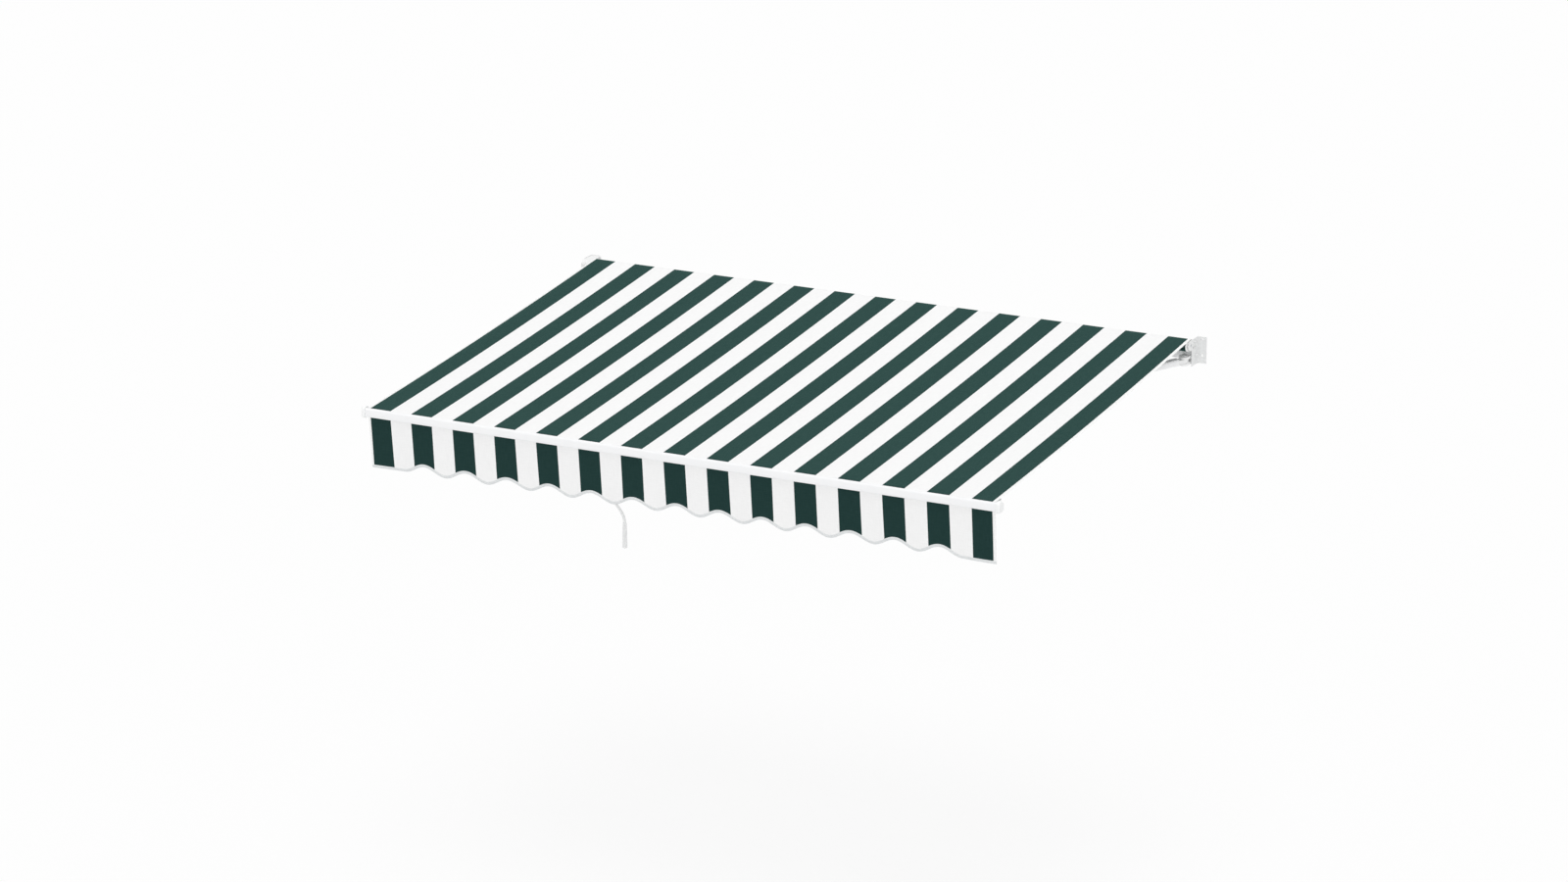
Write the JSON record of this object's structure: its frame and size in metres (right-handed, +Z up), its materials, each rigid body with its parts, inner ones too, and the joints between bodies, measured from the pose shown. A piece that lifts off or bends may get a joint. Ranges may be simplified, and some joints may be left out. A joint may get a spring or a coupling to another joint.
{
  "type": "folding arm awning",
  "caption": "Wall-mounted folding arm awning with a striped roll-up canopy, scalloped valance, front bar, two sprung arms and a hanging hand crank.",
  "frame": {"origin": "in the wall plane at mid-width, at the height of the torsion bar's axis", "axes": "+X to the right seen from in front of the wall, +Y into the wall, +Z up"},
  "size_m": [3.5074, 2.446, 1.5548],
  "materials": {
    "white_powder_coat": "satin white powder coat on steel",
    "white_extruded_aluminium": "satin white powder coat on extruded aluminium",
    "white_cast_aluminium": "satin white powder coat on cast aluminium",
    "white_plastic": "moulded white polyamide",
    "striped_cloth": "woven acrylic cloth in dark green and white stripes",
    "zinc_plated_steel": "zinc plated",
    "gear_brass": "machined"
  },
  "bodies": {
    "wall_frame": {"wall_bracket_left": "white_powder_coat", "wall_bracket_right": "white_powder_coat", "torsion_bar": "white_powder_coat", "bar_plug_left": "zinc_plated_steel", "bar_plug_right": "zinc_plated_steel", "bar_bolt_left": "white_powder_coat", "bar_bolt_right": "white_powder_coat", "shoulder_bracket_left": "white_cast_aluminium", "shoulder_bracket_right": "white_cast_aluminium", "clamp_plate_left": "zinc_plated_steel", "clamp_plate_right": "zinc_plated_steel", "clamp_bolt_upper_left": "zinc_plated_steel", "clamp_bolt_lower_left": "zinc_plated_steel", "clamp_bolt_upper_right": "zinc_plated_steel", "clamp_bolt_lower_right": "zinc_plated_steel", "shoulder_pin_left": "white_powder_coat", "shoulder_pin_right": "white_powder_coat", "roller_bearing": "white_cast_aluminium", "bearing_bolt_rear": "white_powder_coat", "bearing_bolt_front": "white_powder_coat", "gearbox_housing": "white_cast_aluminium", "gearbox_cover": "white_cast_aluminium", "gearbox_bolt_rear": "white_powder_coat", "gearbox_bolt_front": "white_powder_coat", "canopy": "striped_cloth"},
    "roller": {"roller_tube": "zinc_plated_steel", "cloth_roll": "striped_cloth", "roller_idler_plug": "zinc_plated_steel", "roller_drive_plug": "zinc_plated_steel", "worm_wheel": "gear_brass"},
    "crank": {"worm_shaft": "zinc_plated_steel", "crank_hook": "zinc_plated_steel", "crank_rod": "white_extruded_aluminium", "crank_grip": "white_plastic"},
    "left_upper_arm": {"upper_arm_left": "white_extruded_aluminium", "shoulder_knuckle_left": "white_cast_aluminium", "elbow_fork_left": "white_cast_aluminium", "elbow_pin_left": "white_powder_coat", "arm_spring_left": "zinc_plated_steel", "elbow_cable_left": "zinc_plated_steel"},
    "left_forearm": {"forearm_left": "white_extruded_aluminium", "elbow_knuckle_left": "white_cast_aluminium", "forearm_end_left": "white_cast_aluminium"},
    "front": {"front_bar": "white_extruded_aluminium", "front_bar_cap_left": "white_plastic", "front_bar_cap_right": "white_plastic", "arm_connector_left": "white_cast_aluminium", "arm_connector_right": "white_cast_aluminium", "wrist_pin_left": "white_powder_coat", "wrist_pin_right": "white_powder_coat", "valance": "striped_cloth"},
    "right_upper_arm": {"upper_arm_right": "white_extruded_aluminium", "shoulder_knuckle_right": "white_cast_aluminium", "elbow_fork_right": "white_cast_aluminium", "elbow_pin_right": "white_powder_coat", "arm_spring_right": "zinc_plated_steel", "elbow_cable_right": "zinc_plated_steel"},
    "right_forearm": {"forearm_right": "white_extruded_aluminium", "elbow_knuckle_right": "white_cast_aluminium", "forearm_end_right": "white_cast_aluminium"}
  },
  "joints": [
    {"name": "shoulder_left", "type": "hinge", "parent": "wall_frame", "child": "left_upper_arm", "pos_m": [-1.668, -0.1, -0.015], "axis": [0, -0.0441, 0.999], "range_deg": [0, 57], "deforming": ["canopy"]},
    {"name": "elbow_left", "type": "hinge", "parent": "left_upper_arm", "child": "left_forearm", "pos_m": [-1.0193, -1.2225, -0.0645], "axis": [0, -0.0441, 0.999], "range_deg": [-114, 0], "deforming": ["arm_spring_left", "elbow_cable_left"]},
    {"name": "wrist_left", "type": "hinge", "parent": "left_forearm", "child": "front", "pos_m": [-1.668, -2.345, -0.114], "axis": [0, -0.0441, 0.999], "range_deg": [0, 57]},
    {"name": "shoulder_right", "type": "hinge", "parent": "wall_frame", "child": "right_upper_arm", "pos_m": [1.668, -0.1, -0.015], "axis": [0, -0.0441, 0.999], "range_deg": [-57, 0]},
    {"name": "elbow_right", "type": "hinge", "parent": "right_upper_arm", "child": "right_forearm", "pos_m": [1.0193, -1.2225, -0.0645], "axis": [0, -0.0441, 0.999], "range_deg": [0, 114], "deforming": ["arm_spring_right", "elbow_cable_right"]},
    {"name": "roller_turn", "type": "hinge", "parent": "wall_frame", "child": "roller", "pos_m": [0, -0.086, 0.0615], "axis": [1, 0, 0], "range_deg": [-3508, 0]},
    {"name": "crank_turn", "type": "hinge", "parent": "wall_frame", "child": "crank", "pos_m": [-1.718, -0.1076, 0.0615], "axis": [0, 0, 1], "range_deg": [0, 24557]}
  ],
  "couplings": [
    {"joint": "elbow_left", "follows": "shoulder_left", "ratio": -2},
    {"joint": "wrist_left", "follows": "shoulder_left", "ratio": 1},
    {"joint": "shoulder_right", "follows": "shoulder_left", "ratio": -1},
    {"joint": "elbow_right", "follows": "shoulder_left", "ratio": 2},
    {"joint": "roller_turn", "follows": "shoulder_left", "ratio": -61.54},
    {"joint": "crank_turn", "follows": "shoulder_left", "ratio": 430.8}
  ]
}
